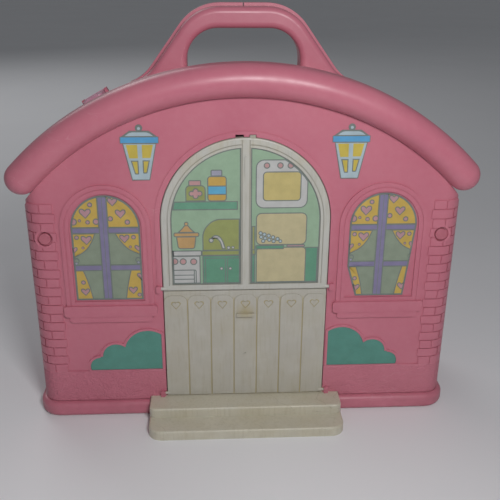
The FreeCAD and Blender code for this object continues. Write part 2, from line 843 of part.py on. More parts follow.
def wing_band(inset, y_open, y_back, r):
    """Box-section roof band of a wing before it is cut to the wing's outline."""
    low = arc_z + eave_r + inset
    start = arc_z + roof_top(y_open) - inset
    top = arc_z + roof_top(y_back - r) - inset
    k = r * (1 - math.sqrt(0.5))
    pts = [V(0, y_open, low), V(0, y_back, low), V(0, y_back, top - r)]
    edges = [
        Part.LineSegment(pts[0], pts[1]).toShape(),
        Part.LineSegment(pts[1], pts[2]).toShape(),
        Part.Arc(pts[2], V(0, y_back - k, top - k), V(0, y_back - r, top)).toShape(),
        Part.LineSegment(V(0, y_back - r, top), V(0, y_open, start)).toShape(),
        Part.LineSegment(V(0, y_open, start), pts[0]).toShape(),
    ]
    face = Part.Face(Part.Wire(edges))
    face.rotate(V(0, 0, arc_z), V(0, 1, 0), -55)
    return face.revolve(V(0, 0, arc_z), V(0, 1, 0), 60)


def make_wing_roof():
    rear = wing_depth
    body = wing_band(0, part_gap, rear, wing_roof_round)
    body = body.common(plan(half_width, -1, rear, corner_r, 100, 400)).common(left_half(0))
    room = wing_band(wall, -1, rear - wall, wing_roof_round - wall)
    room = room.common(plan(half_width - wall, -2, rear - wall, corner_r - wall, 100, 400))
    body = body.cut(room.common(left_half(wall)))
    bow = handle_form(0, part_gap, handle_thick, handle_thick).common(left_half(0))
    body = join(body, bow, *arc_bosses(wing_screw_angles, screw_y))
    return body.cut(arc_screws(wing_screw_angles, screw_y, 0, screw_inset, screw_long - 1))


def latch_low():
    return arc_z + roof_top(latch_front) + latch_clear


def latch_lugs():
    lugs = []
    top = latch_low() + latch_thick / 2
    low = arc_z + roof_top(latch_pivot_y + latch_head) - 1.5
    for side in (-1, 1):
        x0 = latch_half + latch_side if side > 0 else -latch_half - latch_side - latch_lug
        post = box(x0, x0 + latch_lug, latch_pivot_y - latch_head, latch_pivot_y + latch_head,
                   low, top)
        head = rod_x(latch_head, x0, x0 + latch_lug, latch_pivot_y, top)
        lugs.append(join(post, head))
    return [round_the_arc(lug, -latch_angle) for lug in lugs]


def latch_pin_form(r):
    z = latch_low() + latch_thick / 2
    reach = latch_half + latch_side + latch_lug
    return round_the_arc(rod_x(r, -reach, reach, latch_pivot_y, z), -latch_angle)


def make_latch():
    low = latch_low()
    axis = low + latch_thick / 2
    plate = box(-latch_half, latch_half, latch_front, latch_pivot_y, low, low + latch_thick)
    edges = [e for e in plate.Edges if e.BoundBox.YMax < latch_front + 0.01 and
             e.BoundBox.ZLength > 1]
    plate = plate.makeFillet(4.0, edges)
    barrel = rod_x(latch_barrel, -latch_half, latch_half, latch_pivot_y, axis)
    tip = rod_x(0.9, -latch_half + 4, latch_half - 4, latch_front + 1.6, low + latch_thick)
    body = join(plate, barrel, tip)
    bore = rod_x(latch_pin_r + pin_fit, -latch_half - 1, latch_half + 1, latch_pivot_y, axis)
    return round_the_arc(body.cut(bore), -latch_angle)


# ------------------------------------------------------------------ nodes

def keep(name, shape):
    if isinstance(shape, list):
        shape = Part.makeCompound(shape)
    shape.exportStep("parts/" + name + ".step")
    solids = shape.Solids
    print(name, len(solids), "solids", round(sum(s.Volume for s in solids) / 1000, 2), "cm3",
          "ok" if shape.isValid() else "INVALID")


def left_and_right(name, shape, right_first=True):
    left, right = (mirrored(shape), shape) if right_first else (shape, mirrored(shape))
    keep("left_" + name, left)
    keep("right_" + name, right)


keep("front_wall", make_front_wall())
keep("front_roof", make_front_roof())
keep("door_step", make_step())
keep("roof_screws", arc_screw_set(roof_screw_angles, -screw_y))
step_screws = [screw(V(x, facade + wall, riser), V(0, -1, 0), screw_long + wall - 1)
               for x in (-step_screw_x, step_screw_x)]
keep("step_screws", step_screws)

label = window_form(decal, facade)
keep("left_window_label", mirrored(label))
keep("right_window_label", label.cut([worn_foot(window_x - window_half, *worn_inner),
                                      worn_foot(window_x + window_half, -worn_outer[0],
                                                worn_outer[1])]))
left_and_right("lamp_label", lamp_form(decal, facade))
left_and_right("bush_label", bush_form(0, decal, facade))

keep("window_hatch", make_hatch())
pane_y = panel_front + pane_deep
left_and_right("kitchen_label", pane(1, 0.4, pane_y - label_thick, pane_y))
keep("lower_door", make_door())

left_and_right("button", make_button())
left_and_right("button_clip", make_clip())
left_and_right("button_spring", make_spring())

pin_low = knuckle_levels[0] - pin_end
pin_high = knuckle_levels[-1] + 3 * knuckle_long + pin_end
left_and_right("hinge_pin", rod_z(pin_r, pin_low, pin_high, -hinge_x, hinge_y), False)

wing_wall = make_wing_wall()
wing_roof = make_wing_roof()
wing_screws = arc_screw_set(wing_screw_angles, screw_y)
left_and_right("wing_wall", wing_wall, False)
keep("left_wing_roof", join(wing_roof, *latch_lugs()).cut(latch_pin_form(latch_pin_r)))
keep("right_wing_roof", mirrored(wing_roof))
left_and_right("wing_screws", Part.makeCompound(wing_screws), False)

keep("roof_latch", make_latch())
keep("latch_pin", latch_pin_form(latch_pin_r))
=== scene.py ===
"""Fold-open toy playhouse: finishes, printed pictures and studio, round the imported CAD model."""

import math

import bmesh
import bpy
from bpy.props import FloatProperty, FloatVectorProperty, IntProperty, PointerProperty
from mathutils import Matrix, Vector


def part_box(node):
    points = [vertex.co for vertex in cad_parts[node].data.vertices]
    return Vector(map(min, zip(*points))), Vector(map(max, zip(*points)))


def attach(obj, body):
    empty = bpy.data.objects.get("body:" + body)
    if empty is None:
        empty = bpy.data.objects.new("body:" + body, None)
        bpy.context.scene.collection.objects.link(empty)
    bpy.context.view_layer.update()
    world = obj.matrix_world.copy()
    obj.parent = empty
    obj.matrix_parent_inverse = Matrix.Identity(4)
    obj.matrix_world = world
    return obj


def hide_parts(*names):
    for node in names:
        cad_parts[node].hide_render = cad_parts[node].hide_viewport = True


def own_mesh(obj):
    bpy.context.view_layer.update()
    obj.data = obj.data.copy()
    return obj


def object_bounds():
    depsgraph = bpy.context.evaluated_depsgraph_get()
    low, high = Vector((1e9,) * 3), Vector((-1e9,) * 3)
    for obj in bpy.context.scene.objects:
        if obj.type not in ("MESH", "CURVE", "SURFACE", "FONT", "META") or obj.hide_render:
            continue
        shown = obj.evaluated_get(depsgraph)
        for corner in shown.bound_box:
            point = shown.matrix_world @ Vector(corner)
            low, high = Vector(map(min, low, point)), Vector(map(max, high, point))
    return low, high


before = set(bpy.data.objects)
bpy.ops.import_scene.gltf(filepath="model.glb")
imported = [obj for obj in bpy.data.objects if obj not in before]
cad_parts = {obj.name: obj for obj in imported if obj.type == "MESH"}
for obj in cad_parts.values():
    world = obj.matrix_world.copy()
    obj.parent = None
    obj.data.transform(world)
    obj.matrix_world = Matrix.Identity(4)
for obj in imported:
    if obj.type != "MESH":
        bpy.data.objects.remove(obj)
cad_low, cad_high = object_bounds()

bl_info = {
    "name": "Toy Playhouse",
    "version": (1, 0, 0),
    "blender": (4, 5, 0),
    "location": "3D View > Sidebar > Playhouse",
    "description": "Finishes, printed pictures and studio for a fold-open toy playhouse",
    "category": "Object",
}

MM = 0.001
SHELL_PARTS = ("front_wall", "front_roof", "left_wing_wall", "right_wing_wall",
               "left_wing_roof", "right_wing_roof")
STEEL_PARTS = ("roof_screws", "step_screws", "left_wing_screws", "right_wing_screws",
               "left_hinge_pin", "right_hinge_pin", "latch_pin", "left_button_clip",
               "right_button_clip")
SPRING_PARTS = ("left_button_spring", "right_button_spring")
TURN_FACETS = 20
WIRE_FACETS = 8


# ---------------------------------------------------------------- settings

def colour(name, text, *default):
    return FloatVectorProperty(name=name, description=text, subtype="COLOR", size=3,
                               min=0.0, max=1.0, default=default)


def distance(name, text, default):
    return FloatProperty(name=name, description=text, subtype="DISTANCE", unit="LENGTH",
                         min=0.0, default=default, precision=5)


def share(name, text, default, high=1.0):
    return FloatProperty(name=name, description=text, subtype="FACTOR", min=0.0, max=high,
                         default=default)


def power(name, text, default):
    return FloatProperty(name=name, description=text, subtype="POWER", unit="POWER",
                         min=0.0, default=default)


class PlasticSettings(bpy.types.PropertyGroup):
    """Colours and surface of the moulded parts."""

    shell: colour("Shell", "Pink of the walls and the roof", 0.500, 0.145, 0.202)
    shell_faded: colour("Shell, faded", "Pink where light has paled it", 0.580, 0.195, 0.250)
    hatch: colour("Hatch", "Cream of the window hatch", 0.490, 0.485, 0.450)
    door: colour("Door", "Cream of the plank door", 0.440, 0.420, 0.370)
    step: colour("Step", "Cream of the door step", 0.560, 0.525, 0.425)
    shell_fleck: colour("Shell flecks", "Pale flecks in the pink", 0.60, 0.28, 0.31)
    # Painted shade: a darker copy of the pink, laid in patches low on the walls.
    shell_low_shade: colour("Shell dust", "Dust low on the walls", 0.300, 0.095, 0.120)
    shell_scratch: colour("Shell scratches", "Hairlines in the pink", 0.62, 0.35, 0.38)
    yellowed: colour("Yellowing", "Stain that age leaves in the cream parts",
                     0.396, 0.315, 0.118)
    cream_pale: colour("Cream, pale", "Patches that age left pale", 0.56, 0.55, 0.50)
    cream_streak: colour("Cream streaks", "Upright streaks in the cream", 0.30, 0.25, 0.13)
    # Darker brown laid in patches towards the bottom of the cream parts.
    cream_low_dark: colour("Cream dust", "Dust low on the cream parts", 0.200, 0.165, 0.100)
    # Painted shade with grime: this colour darkens every surface of the hatch set back behind its
    # front.
    grime_and_shade: colour("Grime", "Dirt in the grooves of the hatch", 0.240, 0.215, 0.165)
    crown_stain: colour("Crown stain", "Stain along the crown of the hatch",
                        0.470, 0.400, 0.250)
    scuff: colour("Scuffs", "Scuff marks on the door step", 0.24, 0.20, 0.13)
    latch: colour("Latch", "Lilac pink of the roof latch", 0.500, 0.235, 0.325)
    button: colour("Buttons", "Pink of the push buttons", 0.432, 0.125, 0.166)
    grain: distance("Grain", "Size of the fine skin of the moulding", 0.0006)
    stipple: distance("Stipple", "Size of the rough cast on the plinth", 0.0017)
    stipple_high: distance("Stipple height", "Depth of the rough cast on the plinth", 0.0006)
    stipple_low_z: distance("Stipple from", "Lower edge of the rough cast", 0.0150)
    stipple_high_z: distance("Stipple to", "Upper edge of the rough cast", 0.0465)
    gloss: share("Roughness", "Mean roughness of the moulded skin", 0.36)
    mottle: share("Mottling", "How much the colour clouds", 0.55)


class SteelSettings(bpy.types.PropertyGroup):
    """Plated steel of the hardware, and the springs behind the push buttons."""

    bright: colour("Plating", "Zinc where it is clean", 0.58, 0.58, 0.57)
    dull: colour("Plating, dull", "Zinc where it has tarnished", 0.33, 0.30, 0.26)
    wire: distance("Wire", "Thickness of the spring wire", 0.0010)
    turns: IntProperty(name="Turns", description="Turns of wire in a spring", min=3, default=7)
    travel: distance("Travel", "How far a button presses its spring", 0.0030)


class InkSettings(bpy.types.PropertyGroup):
    """Colours of the printed pictures and how the ink lies."""

    line: colour("Outline", "Grey drawn round every shape", 0.180, 0.208, 0.195)
    rubbed: colour("Rubbed ink", "Paler where the film is rubbed", 0.50, 0.50, 0.47)
    wall_green: colour("Kitchen wall", "Pale green behind the furniture", 0.300, 0.430, 0.300)
    shelf_green: colour("Shelf", "Green of the shelf", 0.140, 0.330, 0.225)
    olive: colour("Olive", "Olive of the worktop and the jar", 0.300, 0.330, 0.120)
    teal: colour("Teal", "Teal of the cupboards", 0.120, 0.300, 0.200)
    fridge: colour("Fridge", "Pale cream of the fridge doors", 0.510, 0.450, 0.270)
    amber: colour("Oven glass", "Yellow of the oven window", 0.530, 0.440, 0.180)
    white: colour("Enamel", "White of the cooker and the oven", 0.500, 0.500, 0.490)
    clay: colour("Pot", "Orange brown of the cooking pot", 0.510, 0.320, 0.140)
    orange: colour("Bottle", "Orange of the bottle", 0.540, 0.350, 0.090)
    blue: colour("Blue", "Blue of the bottle's band", 0.115, 0.385, 0.580)
    lilac: colour("Lilac", "Lilac of the cap and the tap", 0.330, 0.330, 0.410)
    rose: colour("Rose", "Rose of the knobs and the jar lid", 0.500, 0.285, 0.285)
    curtain: colour("Curtain", "Yellow of the window curtains", 0.560, 0.385, 0.090)
    sash: colour("Sash", "Lavender of the window bars", 0.225, 0.200, 0.330)
    glass: colour("Glass", "Grey green of the window glass", 0.250, 0.300, 0.225)
    heart: colour("Heart", "Pink of the hearts on the curtains", 0.480, 0.270, 0.300)
    lamp_blue: colour("Lantern metal", "Blue of the lantern's cap", 0.100, 0.340, 0.600)
    lamp_pale: colour("Lantern frame", "Pale blue of the lantern's frame", 0.400, 0.500, 0.550)
    lamp_glow: colour("Lantern light", "Yellow of the lantern's glass", 0.560, 0.440, 0.080)
    leaf: colour("Leaf", "Green of the bushes", 0.090, 0.270, 0.220)
    line_wide: distance("Line", "Width of the grey outline", 0.00095)
    layer: distance("Layer", "Step between one ink and the next", 0.00001)
    gloss: share("Roughness", "Mean roughness of the printed film", 0.42)


class StudioSettings(bpy.types.PropertyGroup):
    """Floor, lamps and camera."""

    floor: colour("Floor", "Pale floor", 0.80, 0.80, 0.82)
    key_power: power("Key lamp", "Power of the small lamp above the camera", 2.6)
    fill_power: power("Fill lamp", "Power of the lamp on the right", 0.4)
    back_power: power("Back lamp", "Power of the large lamp behind", 9.0)
    sky: share("Surroundings", "Strength of the even light from all round", 0.16, 2.0)
    sky_colour: colour("Sky", "Cool white of the light from all round", 0.93, 0.96, 1.0)
    lens: FloatProperty(name="Lens", description="Focal length on a 36 mm frame",
                        subtype="DISTANCE_CAMERA", min=10.0, default=51.95)
    eye: FloatVectorProperty(name="Camera place", description="Where the camera stands",
                             subtype="TRANSLATION", unit="LENGTH", size=3,
                             default=(-0.0291, -0.6502, 0.4087))
    down: FloatProperty(name="Tilt", description="How far the camera looks down",
                        subtype="ANGLE", default=math.radians(22.24))
    aside: FloatProperty(name="Turn", description="How far the camera looks to the right",
                         subtype="ANGLE", default=math.radians(3.2))
    roll: FloatProperty(name="Roll", description="How far the camera leans",
                        subtype="ANGLE", default=math.radians(0.42))


# ---------------------------------------------------------------- finishes

SKIN_DEPTH = 0.04 * MM
RIPPLE_DEPTH = 0.22 * MM
STIPPLE_FADE = 0.6 * MM
# Heights below which the walls take painted shade and the cream parts grow darker.
SHELL_SHADE_HIGH = 0.055
CREAM_DARK_HIGH = 0.030
# The planks end below the rail at the head of the door; the pull stands proud of them.
PLANK_TOP = 0.1225
PLANK_FADE = 5.0 * MM
PULL_PROUD = 3.0 * MM
PULL_AT = (0.0, 0.0, 0.1075)
PULL_STAIN = 10.5 * MM
# The hatch's catch stands proud of its frame; its crown is stained from here up.
CATCH_PROUD = 1.2 * MM
CROWN_LOW = 0.205
CROWN_HIGH = 0.250


class Finish:
    """One procedural material while it is wired."""

    def __init__(self, name):
        self.material = bpy.data.materials.new(name)
        self.material.use_nodes = True
        self.tree = self.material.node_tree
        self.shader = self.tree.nodes["Principled BSDF"]
        self.place = self.make("TexCoord").outputs["Object"]
        _, self.y, self.z = self.make("SeparateXYZ", Vector=self.place).outputs

    def feed(self, socket, value):
        """Link a socket's value to it, or set it as a plain number or colour."""
        if isinstance(value, bpy.types.NodeSocket):
            self.tree.links.new(value, socket)
        elif hasattr(value, "__len__") and len(value) == 3 and socket.type == "RGBA":
            socket.default_value = (*value, 1.0)
        else:
            socket.default_value = value

    def make(self, kind, settings=None, **inputs):
        """A node; an input's spaces are written as underscores."""
        node = self.tree.nodes.new("ShaderNode" + kind)
        for key, value in (settings or {}).items():
            setattr(node, key, value)
        for key, value in inputs.items():
            self.feed(node.inputs[key.replace("_", " ")], value)
        return node

    def noise(self, size, detail=3.0, rough=0.55, where=None):
        """Clouds about `size` metres across."""
        node = self.make("TexNoise", Vector=where or self.place, Scale=1.0 / size,
                         Detail=detail, Roughness=rough)
        return node.outputs[0]

    def stretched(self, *scale):
        """Place on the part, scaled along X, Y and Z."""
        return self.make("Mapping", Vector=self.place, Scale=scale).outputs[0]

    def ramp(self, value, low, high, start=0.0, end=1.0):
        """`start` where value is `low`, `end` where it is `high`, held beyond both."""
        return self.make("MapRange", Value=value, From_Min=low, From_Max=high,
                         To_Min=start, To_Max=end).outputs[0]

    def patches(self, size, low, high, amount, detail=3.0, rough=0.55):
        """Soft patches about `size` across: 0 between them, `amount` within."""
        return self.ramp(self.noise(size, detail, rough), low, high, 0.0, amount)

    def polish(self, size, detail, smooth, dull):
        """Roughness that drifts from `smooth` to `dull` in clouds."""
        return self.ramp(self.noise(size, detail), 0.3, 0.7, smooth, dull)

    def reckon(self, kind, first, second=0.0):
        """One step of arithmetic."""
        node = self.make("Math", {"operation": kind})
        self.feed(node.inputs[0], first)
        self.feed(node.inputs[1], second)
        return node.outputs[0]

    def times(self, first, second):
        return self.reckon("MULTIPLY", first, second)

    def tint(self, factor, under, over):
        """Colour `over` laid on colour `under` as strongly as factor says."""
        node = self.make("Mix", {"data_type": "RGBA"})
        for index, value in ((0, factor), (6, under), (7, over)):
            self.feed(node.inputs[index], value)
        return node.outputs[2]

    def near(self, spot, reach):
        """1 at a spot on the front, falling to 0 at `reach` from it."""
        flat = self.make("Mapping", Vector=self.place, Scale=(1.0, 0.0, 1.0)).outputs[0]
        gap = self.make("VectorMath", {"operation": "DISTANCE"})
        self.feed(gap.inputs[0], flat)
        self.feed(gap.inputs[1], spot)
        return self.ramp(gap.outputs["Value"], 0.0, reach, 1.0, 0.0)

    def relief(self, height, depth, strength, under=None):
        """Fine bumps `depth` metres deep, over those of `under`."""
        node = self.make("Bump", Height=height, Distance=depth, Strength=strength)
        if under is not None:
            self.feed(node.inputs["Normal"], under)
        return node.outputs[0]

    def scratches(self, size, thin, amount):
        """Sparse thin hairlines: 1 on a hairline, 0 elsewhere."""
        bent = self.noise(size, 1.0, 0.4, self.stretched(1.0, 1.0, 4.0))
        edge = self.reckon("ABSOLUTE", self.reckon("SUBTRACT", bent, 0.5))
        patchy = self.patches(size * 3.0, 0.62 - amount, 0.66 - amount, 1.0, 2.0)
        return self.times(self.ramp(edge, 0.0, thin, 1.0, 0.0), patchy)

    def done(self, base, rough, normal=None):
        """Wire the shader and give the material."""
        self.feed(self.shader.inputs["Base Color"], base)
        self.feed(self.shader.inputs["Roughness"], rough)
        if normal is not None:
            self.feed(self.shader.inputs["Normal"], normal)
        return self.material


def skin(f, plastic, strength=0.35, under=None):
    """The fine skin that every moulding has."""
    return f.relief(f.noise(plastic.grain, 2.0), SKIN_DEPTH, strength, under)


def shell_finish(plastic):
    """Pink moulding: cloudy, finely grained, rough cast on the plinth, painted shade low down."""
    f = Finish("pink_shell_plastic")
    cloud = f.patches(0.11, 0.36, 0.64, plastic.mottle, 4.0, 0.6)
    base = f.tint(cloud, plastic.shell, plastic.shell_faded)
    base = f.tint(f.patches(0.006, 0.40, 0.72, 0.10), base, plastic.shell_fleck)
    # Painted shade: the pink darkens in patches towards the bottom of the walls.
    low = f.ramp(f.z, SHELL_SHADE_HIGH, 0.0, 0.0, 0.34)
    darker_low = f.times(low, f.patches(0.030, 0.35, 0.62, 1.0, 5.0, 0.65))
    base = f.tint(darker_low, base, plastic.shell_low_shade)
    hair = f.scratches(0.035, 0.006, 0.0)
    base = f.tint(f.times(hair, 0.25), base, plastic.shell_scratch)

    normal = f.relief(f.noise(plastic.grain, 2.0, 0.5), SKIN_DEPTH, 0.35)
    normal = f.relief(f.noise(0.010, 2.0, 0.5), RIPPLE_DEPTH, 0.35, normal)
    cast = f.make("TexVoronoi", {"feature": "SMOOTH_F1"}, Vector=f.place,
                  Scale=1.0 / plastic.stipple, Smoothness=0.7, Randomness=1.0).outputs[0]
    cast = f.reckon("ADD", cast, f.times(f.noise(0.0045, 3.0, 0.6), 1.6))
    above = f.ramp(f.z, plastic.stipple_low_z, plastic.stipple_low_z + STIPPLE_FADE)
    below = f.ramp(f.z, plastic.stipple_high_z, plastic.stipple_high_z - STIPPLE_FADE)
    band = f.times(above, below)
    normal = f.relief(f.times(cast, band), plastic.stipple_high, 0.9, normal)

    rough = f.ramp(f.noise(0.040, 4.0, 0.6), 0.3, 0.7, plastic.gloss - 0.07,
                   plastic.gloss + 0.10)
    return f.done(base, f.reckon("ADD", rough, f.times(band, 0.16)), normal)


def cream_finish(name, cream, plastic, stain, grain_depth):
    """Cream moulding that has yellowed unevenly, with a faint upright grain."""
    f = Finish(name)
    cloud = f.patches(0.045, 0.42, 0.72, stain, 5.0, 0.6)
    base = f.tint(cloud, cream, plastic.yellowed)
    base = f.tint(f.patches(0.020, 0.45, 0.70, 0.25), base, plastic.cream_pale)
    streak = f.noise(0.0022, 3.0, 0.6, f.stretched(1.0, 1.0, 0.09))
    base = f.tint(f.ramp(streak, 0.50, 0.72, 0.0, 0.22), base, plastic.cream_streak)
    # The cream darkens in patches towards the bottom.
    low = f.ramp(f.z, CREAM_DARK_HIGH, 0.0, 0.0, 0.14)
    darker_low = f.times(low, f.patches(0.018, 0.38, 0.60, 1.0, 5.0, 0.65))
    base = f.tint(darker_low, base, plastic.cream_low_dark)
    normal = skin(f, plastic, under=f.relief(streak, grain_depth, 0.4))
    rough = f.polish(0.025, 4.0, plastic.gloss, plastic.gloss + 0.14)
    return f, base, rough, normal


def door_finish(plastic):
    """Plank door: browner by the pull, with painted shade and yellowing in the seams between the
    planks and in the hearts.
    """
    f, base, rough, normal = cream_finish("plank_door_plastic", plastic.door, plastic,
                                          0.14, 0.00012)
    front = front_of("lower_door") + PULL_PROUD
    # Painted shade with yellowing: surfaces set back behind the planks' front, below the head
    # rail, turn browner.
    deep = f.ramp(f.y, front + 0.10 * MM, front + 0.45 * MM)
    below = f.ramp(f.z, PLANK_TOP, PLANK_TOP - PLANK_FADE)
    seam_shade_and_stain = f.times(f.times(deep, below), 0.62)
    base = f.tint(seam_shade_and_stain, base, plastic.yellowed)
    base = f.tint(f.times(f.near(PULL_AT, PULL_STAIN), 0.55), base, plastic.yellowed)
    return f.done(base, rough, normal)


def hatch_finish(plastic):
    """Window hatch: painted shade with grime in the grooves of its frame, a stain along its crown.
    """
    f, base, rough, normal = cream_finish("hatch_plastic", plastic.hatch, plastic,
                                          0.12, 0.00004)
    front = front_of("window_hatch") + CATCH_PROUD
    # Painted shade with grime: surfaces set back behind the front of the frame darken.
    grime_and_shade = f.ramp(f.y, front + 0.25 * MM, front + 0.75 * MM, 0.0, 0.45)
    base = f.tint(grime_and_shade, base, plastic.grime_and_shade)
    crown = f.times(f.ramp(f.z, CROWN_LOW, CROWN_HIGH), f.patches(0.030, 0.45, 0.66, 1.0, 4.0))
    base = f.tint(f.times(crown, 0.35), base, plastic.crown_stain)
    return f.done(base, rough, normal)


def step_finish(plastic):
    """Door step: yellowed treads with scuffs from small feet."""
    f, base, rough, normal = cream_finish("step_plastic", plastic.step, plastic,
                                          0.20, 0.00005)
    scuff = f.scratches(0.022, 0.010, 0.10)
    base = f.tint(f.times(scuff, 0.40), base, plastic.scuff)
    return f.done(base, rough, normal)


def small_plastic(name, tone, plastic):
    """Finish of a small moulded part: a shade of cloud, fine skin, worn gloss."""
    f = Finish(name)
    cloud = f.patches(0.010, 0.35, 0.70, 0.45, 4.0, 0.6)
    paler = tuple(min(1.0, 1.2 * part + 0.02) for part in tone)
    base = f.tint(cloud, tuple(tone), paler)
    rough = f.polish(0.006, 4.0, plastic.gloss - 0.06, plastic.gloss + 0.10)
    return f.done(base, rough, skin(f, plastic, 0.4))


def steel_finish(steel):
    """Zinc-plated steel: brushed along its length and dulled in patches."""
    f = Finish("plated_steel")
    base = f.tint(f.patches(0.004, 0.40, 0.68, 0.6, 5.0, 0.65), steel.bright, steel.dull)
    brushed = f.noise(0.0005, 3.0, 0.6, f.stretched(1.0, 1.0, 0.12))
    f.shader.inputs["Metallic"].default_value = 1.0
    rough = f.ramp(brushed, 0.3, 0.7, 0.26, 0.48)
    return f.done(base, rough, f.relief(brushed, 0.00002, 0.5))


def ink_finish(name, tone, inks):
    """Printed film: ink that lies a little unevenly, under a thin worn gloss."""
    f = Finish("ink_" + name)
    uneven = f.patches(0.009, 0.32, 0.68, 1.0, 4.0, 0.6)
    darker = tuple(0.88 * part for part in tone)
    base = f.tint(uneven, darker, tuple(tone))
    base = f.tint(f.patches(0.0016, 0.60, 0.80, 0.20, 4.0, 0.7), base, inks.rubbed)
    normal = f.relief(f.noise(0.0009, 2.0), 0.00003, 0.3)
    rough = f.polish(0.014, 3.0, inks.gloss - 0.06, inks.gloss + 0.12)
    return f.done(base, rough, normal)


def dress(names, material):
    """Give CAD parts their finish."""
    for name in names:
        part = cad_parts[name]
        if not part.material_slots:
            part.data.materials.append(material)
        for slot in part.material_slots:
            slot.material = material


def front_of(node):
    """Y of the foremost point of a CAD part."""
    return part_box(node)[0].y


# ---------------------------------------------------------------- printed pictures

# Facets of a rounded corner, of a round spot and of an arch.
CORNER_FACETS = 5
DISC_FACETS = 24
ARCH_FACETS = 18
# Widest outline, as a share of a shape's area over its rim.
LINE_SHARE = 0.85
# How far the ink is sunk into its label, so that no gap shows.
SUNK = 0.05 * MM


def bar(x0, z0, x1, z1, r=0.0):
    """Rectangle with corners rounded to r."""
    return ((x0, z0, r), (x1, z0, r), (x1, z1, r), (x0, z1, r))


def heart(x, z, s):
    """Heart of half width s."""
    form = ((0.0, -0.95, 0.0), (1.0, 0.1, 0.3), (0.92, 0.8, 0.33), (0.22, 0.8, 0.28),
            (0.0, 0.45, 0.0), (-0.22, 0.8, 0.28), (-0.92, 0.8, 0.33), (-1.0, 0.1, 0.3))
    return [(x + s * a, z + s * b, s * r) for a, b, r in form]


class Picture:
    """A printed picture: closed slabs of ink, each laid a hair over the last.

    Its drawing is in millimetres, with X from its own centre line and Z from the ground.
    """

    def __init__(self, name, label, inks, middle=0.0):
        self.name = name
        self.inks = inks
        self.middle = middle
        self.label_front = front_of(label)
        self.front = self.label_front
        self.whole = bmesh.new()
        self.palette = []
        # Lines that bound the drawing: a point of each and the way out over it.
        self.trims = []
        # Whether outlines keep one width in sharp corners.
        self.even = True

    def trim_to_arch(self, half, low, spring, steps=ARCH_FACETS):
        """Keep what is drawn from now on inside an upright panel with a half-round top."""
        self.trims = [((0.0, low), (0.0, -1.0))]
        for step in range(steps + 1):
            turn = math.pi * step / steps
            out = (math.cos(turn), math.sin(turn))
            self.trims.append(((half * out[0], spring + half * out[1]), out))

    def trim_corner(self, here, there):
        """Keep only what lies to the left of the line from here to there."""
        along = (there[0] - here[0], there[1] - here[1])
        self.trims.append((here, (along[1], -along[0])))

    def at(self, x, z):
        """A point of the drawing, on the newest layer."""
        return ((self.middle + x) * MM, self.front, z * MM)

    def number(self, ink):
        """Index of an ink among the picture's materials."""
        if ink not in self.palette:
            self.palette.append(ink)
        return self.palette.index(ink)

    def patch(self, ink, points, line=1.0):
        """A shape through points; a third number rounds a corner to that radius."""
        flat = bmesh.new()
        self.front -= self.inks.layer
        corners = [flat.verts.new(self.at(p[0], p[1])) for p in points]
        flat.faces.new(corners)
        for corner, point in zip(corners, points):
            if len(point) > 2 and point[2] > 0.0:
                bmesh.ops.bevel(flat, geom=[corner], offset=point[2] * MM,
                                offset_type="OFFSET", segments=CORNER_FACETS, profile=0.5,
                                affect="VERTICES", clamp_overlap=True, material=-1)
        self.lay(flat, ink, line)

    def disc(self, ink, x, z, r, line=1.0):
        """A round spot."""
        flat = bmesh.new()
        self.front -= self.inks.layer
        stand = Matrix.Translation(self.at(x, z)) @ Matrix.Rotation(math.pi / 2, 4, "X")
        bmesh.ops.create_circle(flat, cap_ends=True, segments=DISC_FACETS, radius=r * MM,
                                matrix=stand)
        self.lay(flat, ink, line)

    def lay(self, flat, ink, line):
        """Trim a flat shape, draw its outline inside its edge and give it a back."""
        for (x, z), (a, b) in self.trims:
            bmesh.ops.bisect_plane(flat, geom=flat.verts[:] + flat.edges[:] + flat.faces[:],
                                   plane_co=self.at(x, z), plane_no=(a, 0, b),
                                   clear_outer=True)
        if flat.faces:
            index = self.number(ink)
            for face in flat.faces:
                face.material_index = index
            if line:
                # A sliver left by a trim takes a thinner outline.
                slim = min(face.calc_area() / face.calc_perimeter() for face in flat.faces)
                ring = bmesh.ops.inset_region(flat, faces=flat.faces[:], use_boundary=True,
                                              use_even_offset=self.even,
                                              thickness=min(LINE_SHARE * slim,
                                                            line * self.inks.line_wide))
                for face in ring["faces"]:
                    face.material_index = self.number("line")
            made = bmesh.ops.extrude_face_region(flat, geom=flat.faces[:])["geom"]
            back = [v for v in made if isinstance(v, bmesh.types.BMVert)]
            depth = self.label_front + SUNK - self.front
            bmesh.ops.translate(flat, verts=back, vec=(0.0, depth, 0.0))
            bmesh.ops.recalc_face_normals(flat, faces=flat.faces[:])
            sheet = bpy.data.meshes.new("sheet")
            flat.to_mesh(sheet)
            self.whole.from_mesh(sheet)
            bpy.data.meshes.remove(sheet)
        flat.free()

    def draw(self, shapes):
        """A shape is an ink and its points, and perhaps the width of its line."""
        for ink, points, *line in shapes:
            self.patch(ink, points, *line)

    def dots(self, spots):
        """A spot is an ink, a centre and a radius, and perhaps the width of its line."""
        for ink, x, z, r, *line in spots:
            self.disc(ink, x, z, r, *line)

    def done(self, body, slot):
        """Make the picture one piece that rides on a body."""
        mesh = bpy.data.meshes.new(self.name)
        self.whole.to_mesh(mesh)
        self.whole.free()
        for ink in self.palette:
            mesh.materials.append(ink_material(ink, self.inks))
        piece = bpy.data.objects.new(self.name, mesh)
        bpy.context.scene.collection.objects.link(piece)
        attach(piece, body)
        return piece


def ink_material(ink, inks):
    """The finish of an ink, made once."""
    found = bpy.data.materials.get("ink_" + ink)
    return found or ink_finish(ink, getattr(inks, ink), inks)


# The glazed opening of the hatch: half width, foot, springing of the arch, facets of its
# head and half width of the bar in its middle.
LIGHT_HALF = 65.1
LIGHT_LOW = 134.9
LIGHT_SPRING = 194.5
LIGHT_FACETS = 36
LIGHT_BAR = 4.4
# Margin of bare wall round the furniture, and width of the line round the wall.
KITCHEN_RIM = 0.8
WALL_LINE = 0.9
LEFT_LIGHT = bar(-70.0, 120.0, 0.0, 270.0)
RIGHT_LIGHT = bar(0.0, 120.0, 70.0, 270.0)

